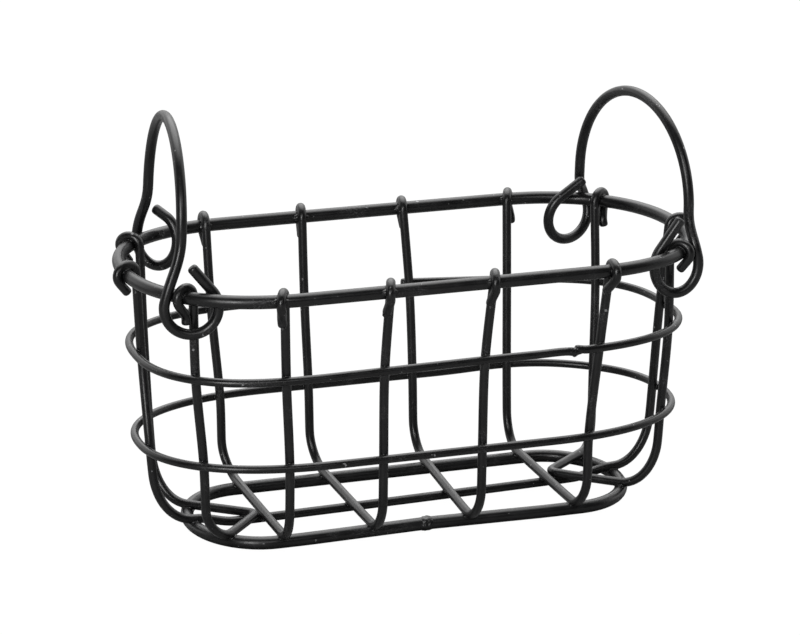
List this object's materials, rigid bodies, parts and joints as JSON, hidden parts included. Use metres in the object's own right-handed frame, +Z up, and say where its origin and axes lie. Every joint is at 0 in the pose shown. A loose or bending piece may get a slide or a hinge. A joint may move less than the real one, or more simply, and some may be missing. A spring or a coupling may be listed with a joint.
{
  "type": "wire storage basket",
  "caption": "Small oval open basket of welded round wire with a satin black coating, hooked ribs over a heavier rim and a swinging wire handle at each end.",
  "frame": {"origin": "middle of the basket, on the table that its base ring stands on", "axes": "+X along the basket towards its right handle, -Y out of its front, +Z up"},
  "size_m": [0.186, 0.0974, 0.1298],
  "materials": {
    "rim_ring_coat": "satin black powder coat on steel wire",
    "upper_band_left_coat": "satin black powder coat on steel wire",
    "upper_band_right_coat": "satin black powder coat on steel wire",
    "lower_band_coat": "satin black powder coat on steel wire",
    "base_ring_coat": "satin black powder coat on steel wire",
    "cross_rib_far_left_coat": "satin black powder coat on steel wire",
    "cross_rib_left_coat": "satin black powder coat on steel wire",
    "cross_rib_right_coat": "satin black powder coat on steel wire",
    "cross_rib_far_right_coat": "satin black powder coat on steel wire",
    "long_rib_coat": "satin black powder coat on steel wire",
    "corner_rib_left_coat": "satin black powder coat on steel wire",
    "corner_rib_right_coat": "satin black powder coat on steel wire",
    "left_handle_coat": "satin black powder coat on steel wire",
    "right_handle_coat": "satin black powder coat on steel wire"
  },
  "bodies": {
    "basket": {"rim_ring": "rim_ring_coat", "upper_band_left": "upper_band_left_coat", "upper_band_right": "upper_band_right_coat", "lower_band": "lower_band_coat", "base_ring": "base_ring_coat", "cross_rib_far_left": "cross_rib_far_left_coat", "cross_rib_left": "cross_rib_left_coat", "cross_rib_right": "cross_rib_right_coat", "cross_rib_far_right": "cross_rib_far_right_coat", "long_rib": "long_rib_coat", "corner_rib_left": "corner_rib_left_coat", "corner_rib_right": "corner_rib_right_coat"},
    "left_handle": {"left_handle": "left_handle_coat"},
    "right_handle": {"right_handle": "right_handle_coat"}
  },
  "joints": [
    {"name": "left_handle_swing", "type": "hinge", "parent": "basket", "child": "left_handle", "pos_m": [-0.07233, 0.00262, 0.0829], "axis": [0.0982, 0.9952, 0], "range_deg": [-15, 25]},
    {"name": "right_handle_swing", "type": "hinge", "parent": "basket", "child": "right_handle", "pos_m": [0.07134, 0.00316, 0.0829], "axis": [0.1241, -0.9923, 0], "range_deg": [-15, 20]}
  ]
}
